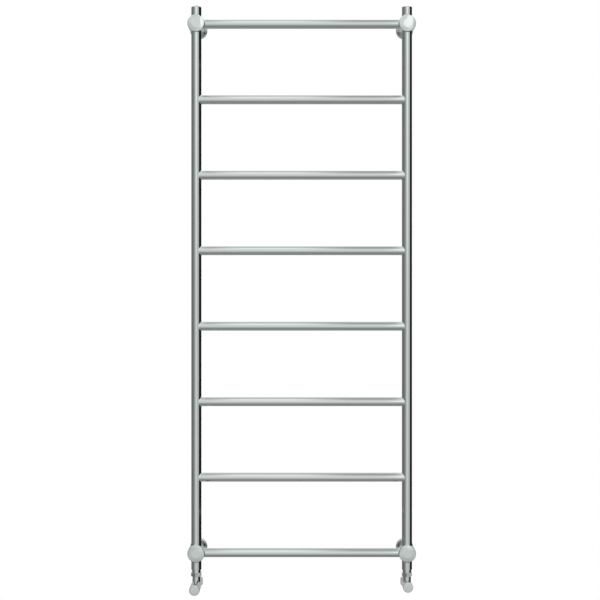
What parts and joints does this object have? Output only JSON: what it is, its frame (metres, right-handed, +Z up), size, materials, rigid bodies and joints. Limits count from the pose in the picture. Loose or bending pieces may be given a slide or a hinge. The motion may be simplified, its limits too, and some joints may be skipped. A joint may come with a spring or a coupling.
{
  "type": "towel warmer rack",
  "caption": "Wall-hung chrome ladder towel rail heated by hot water, with round corner joints, wall brackets, an air vent, and angle valves at the foot of each upright.",
  "frame": {"origin": "centre of the four wall screw holes, on the face of the wall", "axes": "+X to the right as seen from the room, +Y into the wall, +Z up"},
  "size_m": [0.604, 0.135, 1.5479],
  "materials": {
    "chrome_tube": "polished chrome plate on steel tube",
    "chrome_fitting": "polished chrome plate on brass",
    "brass": "turned brass",
    "screw_steel": "machined steel",
    "rubber": "moulded rubber"
  },
  "bodies": {
    "rail": {"air_vent": "chrome_fitting", "blanking_plug": "chrome_fitting", "bottom_left_bracket_post": "chrome_fitting", "bottom_left_end_tube": "chrome_tube", "bottom_left_joint": "chrome_fitting", "bottom_left_wall_base": "chrome_fitting", "bottom_left_wall_flange": "chrome_fitting", "bottom_right_bracket_post": "chrome_fitting", "bottom_right_end_tube": "chrome_tube", "bottom_right_joint": "chrome_fitting", "bottom_right_wall_base": "chrome_fitting", "bottom_right_wall_flange": "chrome_fitting", "gland_nuts": "brass", "gland_rings": "rubber", "grub_screws": "screw_steel", "left_bonnet": "brass", "left_compression_nut": "chrome_fitting", "left_union_nut": "chrome_fitting", "left_upright": "chrome_tube", "left_valve_body": "chrome_fitting", "left_valve_tail": "chrome_fitting", "olives": "brass", "plug_rings": "rubber", "right_bonnet": "brass", "right_compression_nut": "chrome_fitting", "right_union_nut": "chrome_fitting", "right_upright": "chrome_tube", "right_valve_body": "chrome_fitting", "right_valve_tail": "chrome_fitting", "rung_1": "chrome_tube", "rung_2": "chrome_tube", "rung_3": "chrome_tube", "rung_4": "chrome_tube", "rung_5": "chrome_tube", "rung_6": "chrome_tube", "rung_7": "chrome_tube", "rung_8": "chrome_tube", "top_left_bracket_post": "chrome_fitting", "top_left_end_tube": "chrome_tube", "top_left_joint": "chrome_fitting", "top_left_wall_base": "chrome_fitting", "top_left_wall_flange": "chrome_fitting", "top_right_bracket_post": "chrome_fitting", "top_right_end_tube": "chrome_tube", "top_right_joint": "chrome_fitting", "top_right_wall_base": "chrome_fitting", "top_right_wall_flange": "chrome_fitting", "union_washers": "rubber"},
    "handwheel": {"handwheel": "chrome_fitting", "handwheel_cap": "chrome_fitting", "handwheel_screw": "screw_steel", "left_spindle": "brass"},
    "left_valve_disc": {"left_jumper": "brass", "left_seat_washer": "rubber"},
    "lockshield_spindle": {"right_spindle": "brass"},
    "right_valve_disc": {"right_jumper": "brass", "right_seat_washer": "rubber"},
    "lockshield_cap": {"lockshield_cap": "chrome_fitting"},
    "bleed_screw": {"bleed_screw": "brass"}
  },
  "joints": [
    {"name": "handwheel_turn", "type": "hinge", "parent": "rail", "child": "handwheel", "pos_m": [-0.279, -0.075, -0.785], "axis": [0, -1, 0], "range_deg": [0, 720]},
    {"name": "left_disc_lift", "type": "slide", "parent": "rail", "child": "left_valve_disc", "axis": [0, -1, 0], "range_m": [0, 0.004]},
    {"name": "lockshield_turn", "type": "hinge", "parent": "rail", "child": "lockshield_spindle", "pos_m": [0.279, -0.075, -0.785], "axis": [0, -1, 0], "range_deg": [0, 720]},
    {"name": "right_disc_lift", "type": "slide", "parent": "rail", "child": "right_valve_disc", "axis": [0, -1, 0], "range_m": [0, 0.004]},
    {"name": "lockshield_cap_pull", "type": "slide", "parent": "rail", "child": "lockshield_cap", "axis": [0, -1, 0], "range_m": [0, 0.03]},
    {"name": "bleed_turn", "type": "hinge", "parent": "rail", "child": "bleed_screw", "pos_m": [-0.279, -0.075, 0.744], "axis": [0, 0, 1], "range_deg": [0, 360]}
  ],
  "couplings": [
    {"joint": "left_disc_lift", "follows": "handwheel_turn", "m_per_rad": 0.0003183},
    {"joint": "lockshield_turn", "follows": "right_disc_lift", "rad_per_m": 3141.6}
  ]
}
